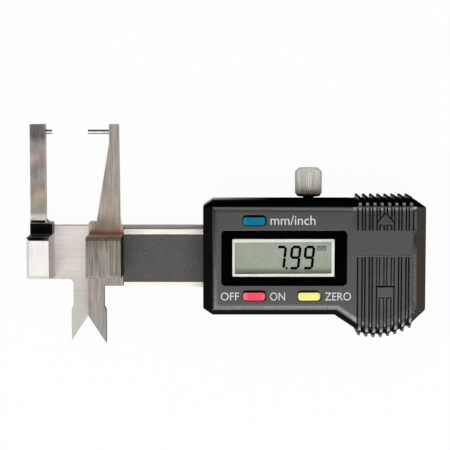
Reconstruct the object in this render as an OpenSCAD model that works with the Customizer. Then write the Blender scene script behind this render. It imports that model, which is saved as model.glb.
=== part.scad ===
// Digital gemstone gauge: a small sliding gauge with measuring pins, blocks and inside jaws.
// It lies on its back. X runs along the slide, Y towards the measuring pins, Z out of the face.
// X 0 is the fixed measuring face, Y 0 the centreline of the beam, and Z 0 the back face.

/* [Measuring] */
// Reading in the rest position
reading = 7.99; // [2:0.01:15]
// Longest reading
max_reading = 25; // [20:1:30]
// Gap left between the measuring faces at zero
zero_gap = 0.01; // [0.01:0.01:0.05]

/* [Slide] */
// Thickness of the frame plate
plate_t = 3; // [2.4:0.1:4]
// Thickness of the beam and the sliding jaw
slide_t = 3; // [2.6:0.1:4]
// Running clearance around the beam
slide_gap = 0.05; // [0.02:0.01:0.1]
// Height of the beam
beam_h = 13; // [11:0.1:14]
// Height of the bar of the frame plate
bar_h = 12.1; // [10:0.1:14]
// How far the frame's centreline lies above the beam's
frame_rise = 0.95; // [0.5:0.05:1.5]
// Thickness of the gib strip
gib_t = 0.8; // [0.5:0.05:1.2]
// Width of each guide rail
rail_w = 1.9; // [1.5:0.1:2.5]

/* [Jaws] */
// Width of the fixed jaw
fixed_w = 4.9; // [4:0.1:7]
// Width of the sliding jaw's block
sliding_w = 7.7; // [6:0.1:9]
// Height of the measuring blocks
block_h = 9.05; // [6:0.05:11]
// Depth of the measuring blocks in front of the slide
block_depth = 9; // [6:0.5:12]
// Chamfer along the front edges of the blocks
block_chamfer = 0.7; // [0.3:0.05:1.2]
// Height of the arms above the beam's centreline
arm_top = 29.8; // [22:0.1:36]
// Width of the fixed arm
fixed_arm_w = 3.3; // [2.4:0.1:4]
// Thickness of the fixed arm
fixed_arm_t = 3.6; // [3:0.1:4.4]
// Width of the sliding arm at its tip
sliding_arm_w = 2.1; // [1.6:0.1:3]
// Radius of the fillets at the foot of the arms
arm_fillet = 1; // [0.5:0.1:1.5]
// Diameter of the measuring pins
pin_d = 1; // [0.8:0.1:1.2]
// Distance of the pins below the top of the arms
pin_drop = 1.7; // [1.2:0.1:2.5]
// Depth of the inside jaws below the beam's centreline
lower_depth = 19.1; // [16:0.1:24]
// Width of the inside jaws at their measuring edges
lower_w = 3.95; // [3:0.05:5]

/* [Housing] */
// Length of the housing
housing_l = 48.7; // [46:0.1:54]
// Height of the housing without its grip
housing_h = 25.1; // [24:0.1:30]
// Height of the housing's face above the back
face_z = 15; // [14.5:0.1:18]
// Thickness of the side walls
wall = 1.2; // [1:0.1:1.6]
// Thickness of the front wall
front_t = 1.4; // [1.2:0.1:1.8]
// Width of the bevel round the face
bevel_w = 1.27; // [0.8:0.01:1.5]
// Width of the bevel at the left and right ends
side_bevel_w = 2.1; // [1.5:0.1:2.2]
// Depth of the bevel round the face
bevel_d = 1.65; // [1.2:0.05:2.2]
// Width of the rounded shoulder inside the bevel
shoulder_w = 1.4; // [0.6:0.1:1.5]
// How far the shoulder falls from the face
shoulder_d = 0.35; // [0.1:0.05:0.5]
// Radius of the grip's lower edge
grip_r = 14.1; // [13:0.1:16]
// Number of grip ridges
ridges = 8; // [6:1:8]
// Spacing of the grip ridges
ridge_pitch = 1.59; // [1.3:0.01:1.65]
// Width of a grip ridge
ridge_w = 0.66; // [0.5:0.02:0.8]
// How far the ridges stand out of the walls
ridge_h = 0.92; // [0.5:0.02:1.2]
// Width of the grooves beside the ridges
groove_w = 0.3; // [0.12:0.01:0.32]
// Depth of the grooves beside the ridges
groove_d = 0.45; // [0.2:0.05:0.6]

/* [Display and buttons] */
// Length of the window
window_l = 27.4; // [26:0.1:29]
// Height of the window
window_h = 12.15; // [11:0.05:12.6]
// Length of the white frame round the display
display_l = 22.2; // [20:0.1:23]
// Height of the white frame round the display
display_h = 8.2; // [7:0.1:9]
// Length of a button
button_l = 5; // [4:0.1:6]
// Height of a button
button_h = 2.15; // [1.8:0.05:2.6]
// How far a button stands out of the face
button_proud = 0.45; // [0.42:0.01:0.8]
// Travel of a button
button_travel = 0.4; // [0.2:0.05:0.4]

/* [Battery] */
// Diameter of the button cell
cell_d = 11.6; // [9.5:0.1:11.7]
// Thickness of the button cell
cell_t = 5.4; // [3:0.1:5.5]
// Width of the battery cover
cover_w = 13.5; // [13.3:0.1:13.6]

/* [Lock screw] */
// Diameter of the lock screw's knob
knob_d = 5.95; // [5:0.05:7]
// Length of the knob
knob_l = 6.35; // [5:0.05:8]
// Diameter of the lock screw's thread
lock_d = 2.5; // [2:0.1:2.6]
// Number of flutes round the knob
flutes = 30; // [20:1:36]

/* [Hidden] */
$fn = 48;
eps = 0.01;

// Heights of the layers above the back face
slide_z0 = plate_t + 0.1;
slide_z1 = slide_z0 + slide_t;
block_z = slide_z1 + block_depth;
foot_z = slide_z1 + 1.5;
pin_z = slide_z0 + slide_t / 2;
rail_z = slide_z1 + 0.2;
board_z0 = rail_z;
board_z1 = board_z0 + 0.8;
inner_z = face_z - front_t;

// The jaws
sliding_x = reading + zero_gap;
block_y0 = frame_rise - 0.05 - block_h / 2;
block_y1 = block_y0 + block_h;
block_draft = 1.15;
foot_y = 8;
pin_y = arm_top - pin_drop;
pin_meet = -0.15;
pin_hole = 2.4;
fixed_arm_x1 = fixed_arm_w - fixed_w;
arm_taper_y = arm_top - 4.1;
arm_tip_x = sliding_x + 4.62;
arm_tip_x1 = arm_tip_x + sliding_arm_w;
lower_x = 3.72;
lower_flare = 0.43;
flare_y = -11;
flare_run = 0.85;
notch_y = -13;
sliding_y0 = -6.25;
sliding_y1 = 8.15;
bar_y0 = frame_rise - bar_h / 2;
bar_y1 = frame_rise + bar_h / 2;

// The beam, with a lap joint under the sliding jaw
lap_x = sliding_x + 1.2;
lap_t = slide_t * 0.45;
lap_gap = 0.02;
label_h = 10.65;
label_t = 0.15;
scale_t = 0.55;
label_x0 = sliding_x + sliding_w + 0.03;

// The housing, placed by the sliding jaw's end at the longest reading
housing_x0 = sliding_w + max_reading + 0.85;
housing_x1 = housing_x0 + housing_l;
housing_y0 = frame_rise - 0.13 - housing_h / 2;
housing_y1 = housing_y0 + housing_h;
corner_x = side_bevel_w;
corner_y = 1.4;
right_corner_y = 1.5;
low_corner = [1.3, 1.15];
grip_x = housing_x0 + 37.7;
grip_y = grip_r - 16;
ridge_x0 = grip_x - ridge_pitch * (ridges - 1) / 2 + 2;
ridge_r = grip_r + 0.78;

// Outlines of the housing, anticlockwise and convex
main_outline = [
    [housing_x0, housing_y0 + corner_y], [housing_x0 + corner_x, housing_y0],
    [housing_x1 - low_corner[0], housing_y0], [housing_x1, housing_y0 + low_corner[1]],
    [housing_x1, housing_y1 - right_corner_y], [housing_x1 - corner_x, housing_y1],
    [housing_x0 + corner_x, housing_y1], [housing_x0, housing_y1 - corner_y]];
grip_outline = [
    [grip_x - 12.2, -9.54], [grip_x + 0.8, -18.25], [grip_x + 4.8, -16.7],
    [housing_x1, housing_y0 + low_corner[1]], [housing_x1, -6], [grip_x - 12.2, -6]];

// The bevelled edges of both outlines, each with its width; the corners run out at the face
main_edges = [
    [0, corner_bevel(corner_y)], [1, bevel_w], [3, side_bevel_w],
    [4, corner_bevel(right_corner_y)], [5, bevel_w], [6, corner_bevel(corner_y)], [7, side_bevel_w]];
grip_edges = [[0, bevel_w], [2, bevel_w], [3, side_bevel_w]];

// The window, display and buttons
window_x0 = housing_x0 + 3.95;
window_y0 = frame_rise - window_h / 2;
lens_t = 0.9;
lens_gap = 0.1;
lens_z0 = face_z - 0.15 - lens_t;
window_ledge = 1;
display_x0 = housing_x0 + 6.6;
display_y0 = frame_rise - 0.15 - display_h / 2;
display_rim = 0.65;
display_z1 = lens_z0 - 0.1;
display_z0 = display_z1 - 2.7;
glass_z0 = display_z0 + 0.2;
glass_z1 = display_z1 - 0.45;
glass_inset = 0.12;
unit_x = housing_x0 + 11.2;
zero_x = housing_x0 + 23.2;
unit_y = window_y0 + window_h + 2.15;
power_y = window_y0 - 2.15;
button_gap = 0.1;
flange = 0.6;
flange_z0 = inner_z - 1.3;
flange_z1 = inner_z - 0.15;
switch_z = flange_z0 - button_travel - 0.05;

// The battery bay and its cover
cover_x0 = grip_x - 4.75;
cover_x1 = cover_x0 + cover_w;
cover_y0 = 1.6;
cover_t = 1.1;
cover_gap = 0.06;
cover_rib = 0.85;
cover_travel = 16;
tongue = 0.55;
tongue_z0 = inner_z - 1;
tongue_z1 = inner_z - 0.1;
band_y = 6.9;
mark_w = 1.75;
cell_x = cover_x0 + cover_w / 2;
cell_y = housing_y1 - wall - 0.4 - cell_d / 2;
cell_z1 = inner_z - 0.1;
cell_z0 = cell_z1 - cell_t;
cradle_h = 3.6;

// The guide and the lock
gib_y0 = beam_h / 2 + slide_gap;
gib_y1 = gib_y0 + gib_t;
rail_y0 = gib_y1 + 0.1;
rail_y1 = rail_y0 + rail_w;
lower_rail_y1 = -beam_h / 2 - slide_gap;
rail_x0 = housing_x0 + wall + 0.1;
rail_x1 = housing_x1 - wall - 0.1;
lower_rail_x0 = housing_x0 + 5.5;
lock_x = housing_x0 + 23.4;
lock_z = pin_z;
lock_pitch = 0.45;
lock_play = 0.12;
lock_gap = 0.03;
pad_l = 0.8;
neck = 0.42;
knob_y0 = housing_y1 + neck;
beam_x1 = lock_x + 5 + reading;

// Screws and pins
screw_d = 1.6;
head_d = 3;
head_t = 0.9;
stop_d = 1.5;
stop_x = housing_x0 + 16.5;
stop_depth = 1.3;
jaw_screw_x = -fixed_w / 2;
jaw_screw_ys = [block_y0 + 1.6, block_y1 - 1.6];
rail_screw_xs = [housing_x0 + 7.5, housing_x0 + 42.5];
gib_screw_xs = [housing_x0 + 13, housing_x0 + 37];
boss_d = 3.4;
boss_top = max(housing_y1 - 2.25, rail_y1 + boss_d / 2 + 0.05);
boss_places = [
    [housing_x0 + 3.6, boss_top], [housing_x0 + 3.6, housing_y0 + 2.3],
    [cover_x0 - 2.5, boss_top], [housing_x1 - 3.9, housing_y0 + 1.3]];

function unit(v) = v / norm(v);

// A convex outline moved inwards by d, or outwards if d is negative
function inset(points, d) = let (n = len(points)) [
    for (i = [0 : n - 1])
        let (b = points[i],
            u = unit(b - points[(i + n - 1) % n]),
            v = unit(points[(i + 1) % n] - b),
            m = [-u[1], u[0]],
            k = [-v[1], v[0]])
        b + d * (m + k) / (1 + m * k)];

function ridge_x(i) = ridge_x0 + i * ridge_pitch;

// Width of the bevel across a corner of height cy, so that it ends in the face's corner
function corner_bevel(cy) = bevel_w * corner_x / norm([corner_x, cy]);

// The shoulder's profile, from the bevel of width w up to the flat face
function shoulder(w) = [
    for (i = [0 : 4]) [w + shoulder_w * i / 4, face_z - shoulder_d * pow(1 - i / 4, 2)]];

// A box between two corners
module block(a, b) {
    translate(a) cube(b - a);
}

// A rectangle with rounded corners
module round_rect(x, y, l, h, r) {
    translate([x + r, y]) square([l - 2 * r, h]);
    translate([x, y + r]) square([l, h - 2 * r]);
    for (cx = [x + r, x + l - r], cy = [y + r, y + h - r])
        translate([cx, cy]) circle(r);
}

// A cylinder along X from x0 to x1
module bar_x(x0, x1, y, z, d) {
    translate([x0, y, z]) rotate([0, 90, 0]) cylinder(h = x1 - x0, d = d);
}

// A cylinder along Y from y0 to y1
module bar_y(y0, y1, x, z, d) {
    translate([x, y1, z]) rotate([90, 0, 0]) cylinder(h = y1 - y0, d = d);
}

// Cuts a bevel of width w and its shoulder along the outline's edge from p to q
module edge_cut(p, q, w) {
    over = 3;
    d = q - p;
    low = face_z - shoulder_d - 2 * bevel_d;
    translate([p[0], p[1], 0]) rotate(atan2(d[1], d[0])) translate([-over, 0, 0])
        rotate([90, 0, 90]) linear_extrude(norm(d) + 2 * over)
            polygon(concat([[w + shoulder_w, face_z + 1], [-w, face_z + 1], [-w, low]], shoulder(w)));
}

// A convex prism up to the face, with the bevels along the edges named
module bevelled(points, edges) {
    difference() {
        translate([0, 0, plate_t]) linear_extrude(face_z - plate_t) polygon(points);
        for (e = edges)
            edge_cut(points[e[0]], points[(e[0] + 1) % len(points)], e[1]);
    }
}

// A round body of the grip's lower edge, with the bevel and the shoulder at its face
module grip_round(r) {
    translate([grip_x, grip_y, 0]) rotate_extrude($fn = 96)
        polygon(concat([[0, face_z], [0, plate_t], [r, plate_t], [r, face_z - shoulder_d - bevel_d]],
            [for (p = shoulder(bevel_w)) [r - p[0], p[1]]]));
}

// A countersunk screw from the back face up to z
module back_screw(x, y, z) {
    translate([x, y, 0.1]) cylinder(h = head_t, d1 = head_d, d2 = screw_d);
    translate([x, y, 0.1]) cylinder(h = z - 0.1, d = screw_d);
}

// The hole for such a screw
module back_hole(x, y, z) {
    translate([x, y, -eps]) cylinder(h = z + eps, d = screw_d);
    translate([x, y, 0.1]) cylinder(h = head_t, d1 = head_d, d2 = screw_d);
    translate([x, y, -eps]) cylinder(h = 0.1 + 2 * eps, d = head_d);
}

// Outline of an inside jaw whose measuring edge is at x 0 and whose body lies towards +X
module lower_jaw_outline(y_top) {
    polygon([[lower_flare, y_top], [lower_flare, flare_y], [0, flare_y - flare_run],
        [0, -lower_depth], [lower_w, notch_y], [lower_w, y_top]]);
}

// Frame plate: the bar, the wide part that closes the housing's back, and the fixed inside jaw
module frame_plate() {
    color("#b9b2a6") difference() {
        union() {
            linear_extrude(plate_t) {
                translate([-fixed_w, bar_y0]) square([housing_x0 + 2 + fixed_w, bar_h]);
                translate([lower_x, 0]) lower_jaw_outline(bar_y0 + 1);
                difference() {
                    translate([lower_x + lower_flare - arm_fillet, bar_y0 - arm_fillet])
                        square([arm_fillet + eps, arm_fillet + eps]);
                    translate([lower_x + lower_flare - arm_fillet, bar_y0 - arm_fillet])
                        circle(arm_fillet);
                }
                polygon(inset(main_outline, 0.6));
                intersection() {
                    polygon(inset(grip_outline, 0.6));
                    translate([grip_x, grip_y]) circle(grip_r - 0.6, $fn = 96);
                }
            }
        }
        for (y = jaw_screw_ys)
            back_hole(jaw_screw_x, y, plate_t + eps);
        for (x = rail_screw_xs, y = [(rail_y0 + rail_y1) / 2, lower_rail_y1 - rail_w / 2])
            back_hole(x, y, plate_t + eps);
        for (p = boss_places)
            back_hole(p[0], p[1], plate_t + eps);
        translate([0, 0, plate_t - stop_depth - 0.1]) linear_extrude(stop_depth + 1)
            round_rect(stop_x - reading - stop_d / 2 - 0.1, -stop_d / 2 - 0.1,
                max_reading + stop_d + 0.2, stop_d + 0.2, stop_d / 2 + 0.09);
    }
}

// Fixed jaw: a foot on the frame plate, the measuring block and the arm that holds the fixed pin
module fixed_jaw() {
    color("#8f867c") difference() {
        union() {
            block([-fixed_w, block_y0, plate_t], [0, foot_y, foot_z]);
            measuring_block(-fixed_w, 0, plate_t, 0.65, block_draft);
            block([-fixed_w, foot_y - 1, plate_t], [fixed_arm_x1, arm_top, plate_t + fixed_arm_t]);
            // Fillet in front, from the arm down to the foot
            difference() {
                block([-fixed_w, foot_y - eps, plate_t + fixed_arm_t - eps],
                    [fixed_arm_x1, foot_y + foot_z - plate_t - fixed_arm_t, foot_z]);
                bar_x(-fixed_w - 1, fixed_arm_x1 + 1, foot_y + foot_z - plate_t - fixed_arm_t,
                    foot_z, 2 * (foot_z - plate_t - fixed_arm_t));
            }
            // Fillet beside the arm
            difference() {
                block([fixed_arm_x1 - eps, foot_y - eps, plate_t],
                    [fixed_arm_x1 + arm_fillet, foot_y + arm_fillet, plate_t + fixed_arm_t]);
                translate([fixed_arm_x1 + arm_fillet, foot_y + arm_fillet, 0])
                    cylinder(h = foot_z + 1, r = arm_fillet);
            }
        }
        bar_x(fixed_arm_x1 - pin_hole, fixed_arm_x1 + 1, pin_y, pin_z, pin_d);
        for (y = jaw_screw_ys)
            back_hole(jaw_screw_x, y, plate_t + 4);
    }
}

// A measuring block from x0 to x1 and up from z, chamfered along its front edges; its lower side
// runs out by draft towards z
module measuring_block(x0, x1, z, side_chamfer, draft) {
    c = block_chamfer;
    s = side_chamfer;
    intersection() {
        translate([x0, 0, 0]) rotate([90, 0, 90]) linear_extrude(x1 - x0)
            polygon([[block_y0 - draft, z], [block_y1, z], [block_y1, block_z - c],
                [block_y1 - c, block_z], [block_y0 + c, block_z], [block_y0, block_z - c]]);
        translate([0, block_y1 + 1, 0]) rotate([90, 0, 0]) linear_extrude(block_h + draft + 2)
            polygon([[x0, z], [x1, z], [x1, block_z], [x0 + s, block_z], [x0, block_z - s]]);
    }
}

// Measuring pin in the fixed arm
module fixed_pin() {
    color("#d9dbd2") bar_x(fixed_arm_x1 - pin_hole, pin_meet, pin_y, pin_z, pin_d);
}

// Two countersunk screws that hold the fixed jaw
module jaw_screws() {
    color("#c8c8c8") for (y = jaw_screw_ys)
        back_screw(jaw_screw_x, y, plate_t + 3.5);
}

// Guide rails above and below the beam
module guide_rails() {
    color("#a9a59c") {
        difference() {
            block([rail_x0, rail_y0, plate_t], [rail_x1, rail_y1, rail_z]);
            bar_y(rail_y0 - 1, rail_y1 + 1, lock_x, lock_z, lock_d + 2 * lock_gap);
            for (x = gib_screw_xs)
                bar_y(rail_y0 - 1, rail_y1 + 1, x, lock_z, screw_d);
            for (x = rail_screw_xs)
                back_hole(x, (rail_y0 + rail_y1) / 2, rail_z - 0.5);
        }
        difference() {
            block([lower_rail_x0, lower_rail_y1 - rail_w, plate_t], [rail_x1, lower_rail_y1, rail_z]);
            for (x = rail_screw_xs)
                back_hole(x, lower_rail_y1 - rail_w / 2, rail_z - 0.5);
        }
    }
}

// Four countersunk screws that hold the rails
module rail_screws() {
    color("#c8c8c8") for (x = rail_screw_xs, y = [(rail_y0 + rail_y1) / 2, lower_rail_y1 - rail_w / 2])
        back_screw(x, y, rail_z - 0.8);
}

// Gib strip between the beam and the upper rail
module gib_strip() {
    color("#b08d57") block([rail_x0 + 1.5, gib_y0, plate_t + 0.15],
        [rail_x1 - 1.5, gib_y1, slide_z1 - 0.1]);
}

// Two set screws that adjust the gib strip
module gib_screws() {
    color("#5a5a5c") for (x = gib_screw_xs)
        difference() {
            bar_y(gib_y1 + 0.02, rail_y1 - 0.15, x, lock_z, screw_d);
            block([x - 0.15, rail_y1 - 0.6, lock_z - 1], [x + 0.15, rail_y1, lock_z + 1]);
        }
}

// Ridges of the upper grip, from y0 up over the bevel to the top wall
module upper_ridges(y0) {
    tip = housing_y1 + ridge_h - ridge_w / 2;
    difference() {
        translate([0, 0, plate_t + 0.3]) linear_extrude(face_z - plate_t - 0.3)
            for (i = [0 : ridges - 1])
                translate([ridge_x(i), 0]) {
                    translate([-ridge_w / 2, y0]) square([ridge_w, tip - y0]);
                    translate([0, tip]) circle(ridge_w / 2);
                }
        edge_cut([housing_x1, housing_y1 + ridge_h], [housing_x0, housing_y1 + ridge_h], bevel_w);
    }
}

// Ridges of the lower grip, from y1 down over the bevel to the bottom wall
module lower_ridges(y1) {
    intersection() {
        translate([0, 0, plate_t]) linear_extrude(face_z - plate_t)
            for (i = [0 : ridges - 1])
                let (tip = grip_y - sqrt(pow(ridge_r, 2) - pow(ridge_x(i) - grip_x, 2)) + ridge_w / 2)
                translate([ridge_x(i), 0]) {
                    translate([-ridge_w / 2, tip]) square([ridge_w, y1 - tip]);
                    translate([0, tip]) circle(ridge_w / 2);
                }
        grip_round(ridge_r);
    }
}

// Grooves on both sides of each ridge, from y0 to y1
module grooves(y0, y1) {
    for (i = [0 : ridges - 1], s = [-1, 1])
        translate([ridge_x(i) + s * (ridge_w + groove_w) / 2 - groove_w / 2, y0, face_z - groove_d])
            cube([groove_w, y1 - y0, 1]);
}

// A slanted groove in the face from p to q
module face_groove(p, q, w) {
    d = q - p;
    translate([p[0], p[1], face_z - groove_d]) rotate(atan2(d[1], d[0]))
        translate([-w / 2, -w / 2, 0]) cube([norm(d) + w, w, 1]);
}

// Grooves round the end at y1 of each of the two middle ridges, down to y0
module ridge_ends(y0, y1) {
    w = (ridge_w + groove_w) / 2;
    for (i = [floor((ridges - 1) / 2), ceil((ridges - 1) / 2)]) {
        x = ridge_x(i);
        face_groove([x - w, y1], [x + w, y1], groove_w);
        for (s = [-w, w])
            face_groove([x + s, y0], [x + s, y1], groove_w);
    }
}

// Outside of the housing
module housing_form() {
    bevelled(main_outline, main_edges);
    intersection() {
        bevelled(grip_outline, grip_edges);
        grip_round(grip_r);
    }
    lower_ridges(housing_y0 + 3);
}

// Inside of the housing, open at the back, with walls w thick up to z
module housing_cavity(w, z) {
    translate([0, 0, plate_t - eps]) linear_extrude(z - plate_t + eps) {
        polygon(inset(main_outline, w));
        intersection() {
            polygon(inset(grip_outline, w));
            translate([grip_x, grip_y]) circle(grip_r - w, $fn = 96);
        }
    }
}

// Hole in the face for a button centred at x and y
module button_hole(x, y) {
    g = button_gap;
    translate([0, 0, inner_z - 1]) linear_extrude(front_t + 2)
        round_rect(x - button_l / 2 - g, y - button_h / 2 - g, button_l + 2 * g, button_h + 2 * g, 0.7);
}

// Space that the battery cover and its tongues sweep, with clearance
module cover_path() {
    g = cover_gap;
    block([cover_x0 - g, cover_y0 - g, tongue_z0 - g],
        [cover_x1 + g, housing_y1 + 5, face_z + 1]);
    block([cover_x0 - tongue - g, cover_y0 - g, tongue_z0 - g],
        [cover_x1 + tongue + g, housing_y1 + 5, tongue_z1 + g]);
    block([cover_x0 - g, housing_y1 - wall - g - 1, plate_t - eps],
        [cover_x1 + g, housing_y1 + 5, face_z + 1]);
}

// Housing: moulded shell with the window, the button holes, the bosses and the battery bay
module housing_shell() {
    color("#3b3835") difference() {
        union() {
            difference() {
                housing_form();
                housing_cavity(wall, inner_z - 1.2);
                housing_cavity(wall + 0.6, inner_z);
            }
            intersection() {
                union() {
                    for (p = boss_places)
                        translate([p[0], p[1], plate_t]) cylinder(h = inner_z - plate_t + eps, d = boss_d);
                    bay_walls();
                }
                housing_form();
            }
        }
        for (p = boss_places)
            translate([p[0], p[1], plate_t - eps]) cylinder(h = 7, d = screw_d);
        // Window: a seat for the lens and a smaller opening behind it
        translate([0, 0, lens_z0 - 0.05]) linear_extrude(3)
            round_rect(window_x0, window_y0, window_l, window_h, 0.9);
        block([window_x0 + window_ledge, window_y0 + window_ledge, inner_z - 1],
            [window_x0 + window_l - window_ledge, window_y0 + window_h - window_ledge, face_z]);
        button_hole(unit_x, unit_y);
        button_hole(unit_x, power_y);
        button_hole(zero_x, power_y);
        bar_y(housing_y1 - 3, housing_y1 + 3, lock_x, lock_z, lock_d + 0.5);
        // Openings for the beam at both ends
        block([housing_x0 - 1, -beam_h / 2 - 0.3, plate_t - 1],
            [housing_x0 + 3, bar_y1 + 0.3, slide_z1 + 0.3]);
        block([housing_x1 - 3, -beam_h / 2 - 0.3, plate_t - 1],
            [housing_x1 + 1, beam_h / 2 + 0.3, slide_z1 + 0.3]);
        cover_path();
        // Grooves of the lower grip, and its moulded mark
        difference() {
            grooves(-20, cover_y0 - cover_gap - 0.3);
            block([cell_x - mark_w, -7.75, face_z - 1], [cell_x + mark_w, -5.1, face_z + 2]);
        }
        ridge_ends(-8.5, -7.75);
        face_groove([cell_x - 1.85, -5.3], [cell_x + 1.85, -5.3], 0.5);
    }
}

// Walls of the battery bay, with the ledges under the cover's tongues and the cell's cradle
module bay_walls() {
    g = cover_gap;
    block([cover_x0 - tongue - g - 0.8, cover_y0 - 1, board_z1 + 0.3],
        [cover_x0 - tongue - g, housing_y1 - wall, inner_z + eps]);
    for (x = [[cover_x0 - tongue - g - eps, cover_x0 - g], [cover_x1 + g, housing_x1 - wall + eps]])
        block([x[0], cover_y0 - 1, tongue_z0 - g - 0.9], [x[1], housing_y1 - wall, tongue_z0 - g]);
    difference() {
        union() {
            intersection() {
                translate([cell_x, cell_y, board_z1 + 0.3])
                    cylinder(h = cradle_h, d = cell_d + 2.2, $fn = 96);
                block([cell_x - cell_d, cell_y - cell_d, 0], [cell_x + cell_d, cell_y + 1.5, inner_z]);
            }
            block([cover_x0 - tongue - g - eps, cell_y - 4.6, board_z1 + 0.3],
                [housing_x1 - wall + eps, cell_y - 3.8, board_z1 + 0.3 + cradle_h]);
        }
        translate([cell_x, cell_y, 0]) cylinder(h = face_z, d = cell_d + 0.3, $fn = 96);
        // Gap in the cradle for the clip that touches the cell's side
        block([cell_x - cell_d, cell_y - 1.9, 0], [cell_x, cell_y + 1.7, face_z]);
    }
}

// Four countersunk screws that hold the housing
module housing_screws() {
    color("#c8c8c8") for (p = boss_places)
        back_screw(p[0], p[1], plate_t + 5);
}

// Window lens
module window_lens() {
    g = lens_gap;
    color("#101112") translate([0, 0, lens_z0]) linear_extrude(lens_t)
        round_rect(window_x0 + g, window_y0 + g, window_l - 2 * g, window_h - 2 * g, 0.8);
}

// White frame that holds the display under the lens
module display_frame() {
    r = display_rim;
    color("#f2f2ee") difference() {
        translate([0, 0, display_z0]) linear_extrude(display_z1 - display_z0)
            round_rect(display_x0, display_y0, display_l, display_h, 0.35);
        block([display_x0 + r, display_y0 + r, display_z0 - 1],
            [display_x0 + display_l - r, display_y0 + display_h - r, display_z1 + 1]);
        block([display_x0 + glass_inset, display_y0 + glass_inset, display_z0 - 1],
            [display_x0 + display_l - glass_inset, display_y0 + display_h - glass_inset, glass_z1 + 0.02]);
    }
}

// Liquid crystal display
module display_panel() {
    i = glass_inset + 0.03;
    color("#a3a893") block([display_x0 + i, display_y0 + i, glass_z0],
        [display_x0 + display_l - i, display_y0 + display_h - i, glass_z1]);
}

// Two rubber contact strips between the circuit board and the display
module contact_strips() {
    color("#46413c") for (y = [display_y0 + 0.5, display_y0 + display_h - 1.9])
        block([display_x0 + 0.9, y, board_z1], [display_x0 + display_l - 0.9, y + 1.4, glass_z0]);
}

// Circuit board on the guide rails, which reads the scale under it
module circuit_board() {
    color("#2f6b3c") difference() {
        translate([0, 0, board_z0]) linear_extrude(board_z1 - board_z0)
            intersection() {
                polygon(inset(main_outline, wall + 0.4));
                translate([housing_x0, housing_y0]) square([housing_l, housing_h - 2.6]);
            }
        for (p = boss_places)
            translate([p[0], p[1], board_z0 - 1]) cylinder(h = 3, d = boss_d + 0.4);
    }
}

// Resin cover over the chip
module chip_cover() {
    r = 5;
    rise = 1.4;
    color("#141414") intersection() {
        translate([grip_x + 1, housing_y0 + 4.6, board_z1 + rise - r]) sphere(r);
        block([grip_x - 6, housing_y0, board_z1], [grip_x + 8, housing_y0 + 12, board_z1 + 3]);
    }
}

// Three small push switches under the buttons
module key_switches() {
    color("#202124") for (p = [[unit_x, unit_y], [unit_x, power_y], [zero_x, power_y]])
        translate([p[0], p[1], 0]) {
            block([-2.2, -1.7, board_z1], [2.2, 1.7, board_z1 + 2.2]);
            translate([0, 0, board_z1 + 2.1]) cylinder(h = switch_z - board_z1 - 2.1, d = 2);
        }
}

// Button cell, with its smaller cap towards the circuit board
module button_cell() {
    color("#cfd2d4") {
        translate([cell_x, cell_y, cell_z0 + 0.5]) cylinder(h = cell_t - 0.5, d = cell_d, $fn = 96);
        translate([cell_x, cell_y, cell_z0]) cylinder(h = 0.6, d = cell_d - 1.6, $fn = 96);
    }
}

// Bent spring leaf under the cell
module cell_spring() {
    t = 0.2;
    rise = cell_z0 - board_z1 - t;
    color("#d8c07a") translate([cell_x, cell_y + 1.5, board_z1]) rotate([90, 0, 0])
        linear_extrude(3)
            polygon([[-4, 0], [-2.6, 0], [-1, rise], [1, rise], [2.6, 0], [4, 0], [4, t], [2.5, t],
                [1.1, rise + t - 0.02], [-1.1, rise + t - 0.02], [-2.5, t], [-4, t]]);
}

// Clip that touches the side of the cell
module cell_clip() {
    x = cell_x - cell_d / 2 - 0.02;
    color("#d8c07a") translate([0, cell_y + 1.3, 0]) rotate([90, 0, 0]) linear_extrude(2.6)
        polygon([[x - 0.9, board_z1], [x - 0.1, board_z1], [x - 0.1, board_z1 + 0.2],
            [x - 0.35, board_z1 + 0.2], [x, cell_z0 + 2.6], [x - 0.5, cell_z0 + 3.9],
            [x - 0.7, cell_z0 + 3.9], [x - 0.25, cell_z0 + 2.6], [x - 0.6, board_z1 + 0.2],
            [x - 0.9, board_z1 + 0.2]]);
}

// Beam, with a tongue under the sliding jaw and a recess for the scale
module beam() {
    color("#c9c4ba") difference() {
        union() {
            block([sliding_x + sliding_w + lap_gap, -beam_h / 2, slide_z0], [beam_x1, beam_h / 2, slide_z1]);
            block([lap_x, block_y0 + 0.5, slide_z0],
                [sliding_x + sliding_w + 1, block_y1 - 0.5, slide_z0 + lap_t]);
        }
        block([label_x0 - 1, -label_h / 2, slide_z1 - scale_t - label_t - 0.05],
            [beam_x1 + 1, label_h / 2, slide_z1 + 1]);
        for (y = jaw_screw_ys)
            translate([rivet_x(), y, slide_z0 - 1]) cylinder(h = slide_t, d = screw_d);
        translate([stop_x, 0, slide_z0 - 1]) cylinder(h = 1 + slide_t / 2, d = stop_d);
    }
}

function rivet_x() = sliding_x + sliding_w / 2 + 0.6;

// Circuit of the scale, let into the beam
module scale_board() {
    color("#2f6b3c") block([label_x0, -label_h / 2 + 0.05, slide_z1 - scale_t - label_t - 0.05],
        [beam_x1 - 0.5, label_h / 2 - 0.05, slide_z1 - label_t - 0.05]);
}

// Dark protecting strip on the scale
module scale_label() {
    color("#4a4847") block([label_x0, -label_h / 2 + 0.05, slide_z1 - label_t - 0.05],
        [beam_x1 - 0.5, label_h / 2 - 0.05, slide_z1 - 0.05]);
}

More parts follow.
